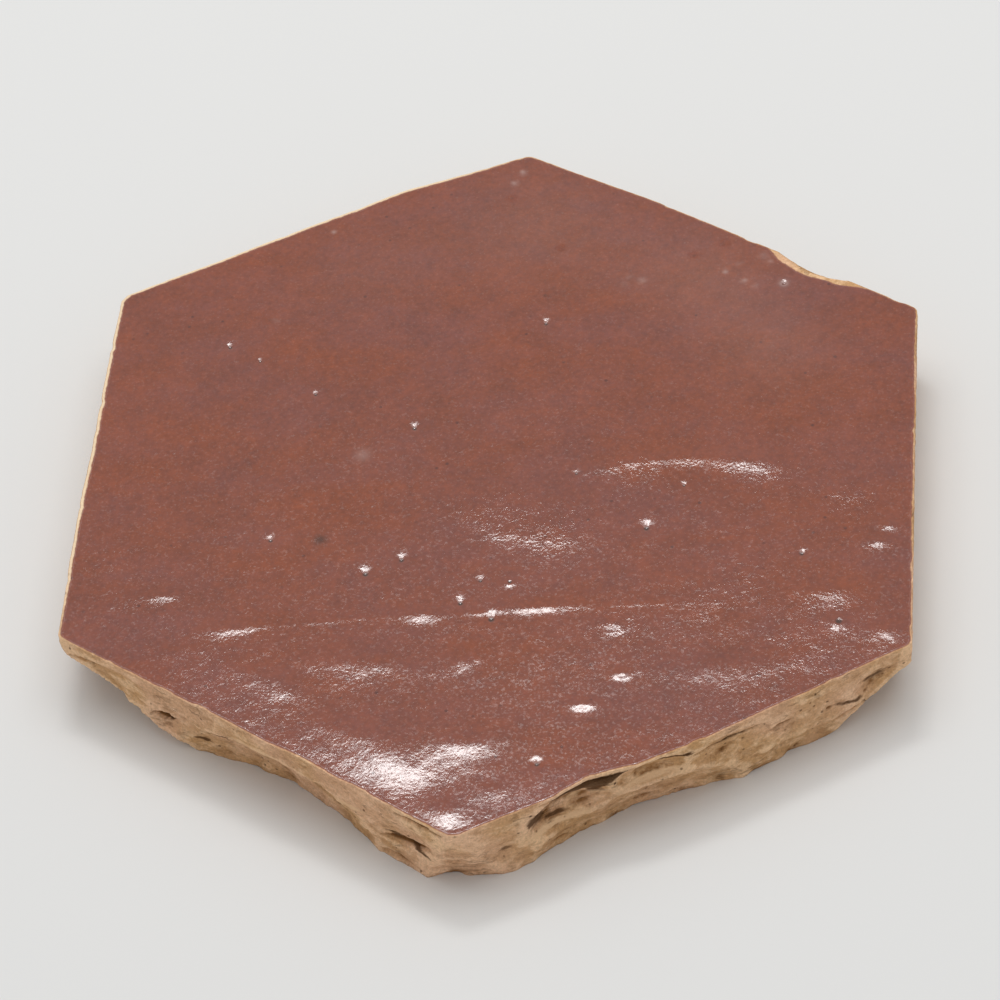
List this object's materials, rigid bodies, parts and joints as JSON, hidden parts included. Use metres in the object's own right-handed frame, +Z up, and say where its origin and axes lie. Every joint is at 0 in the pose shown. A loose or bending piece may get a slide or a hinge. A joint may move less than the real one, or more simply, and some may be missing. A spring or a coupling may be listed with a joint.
{
  "type": "hexagon zellige tile",
  "caption": "Hand-cut hexagonal zellige tile of fired clay with a glossy red-brown glazed face and broken, unglazed clay sides.",
  "frame": {"origin": "centre of the flat back, on the surface that the tile lies on", "axes": "+Z up through the glazed face, +Y towards the rear corner, +X across two flats"},
  "size_m": [0.1207, 0.137, 0.0126],
  "materials": {
    "glazed_clay": "glossy"
  },
  "bodies": {
    "root": {"hexagon_tile": "glazed_clay"}
  },
  "joints": []
}
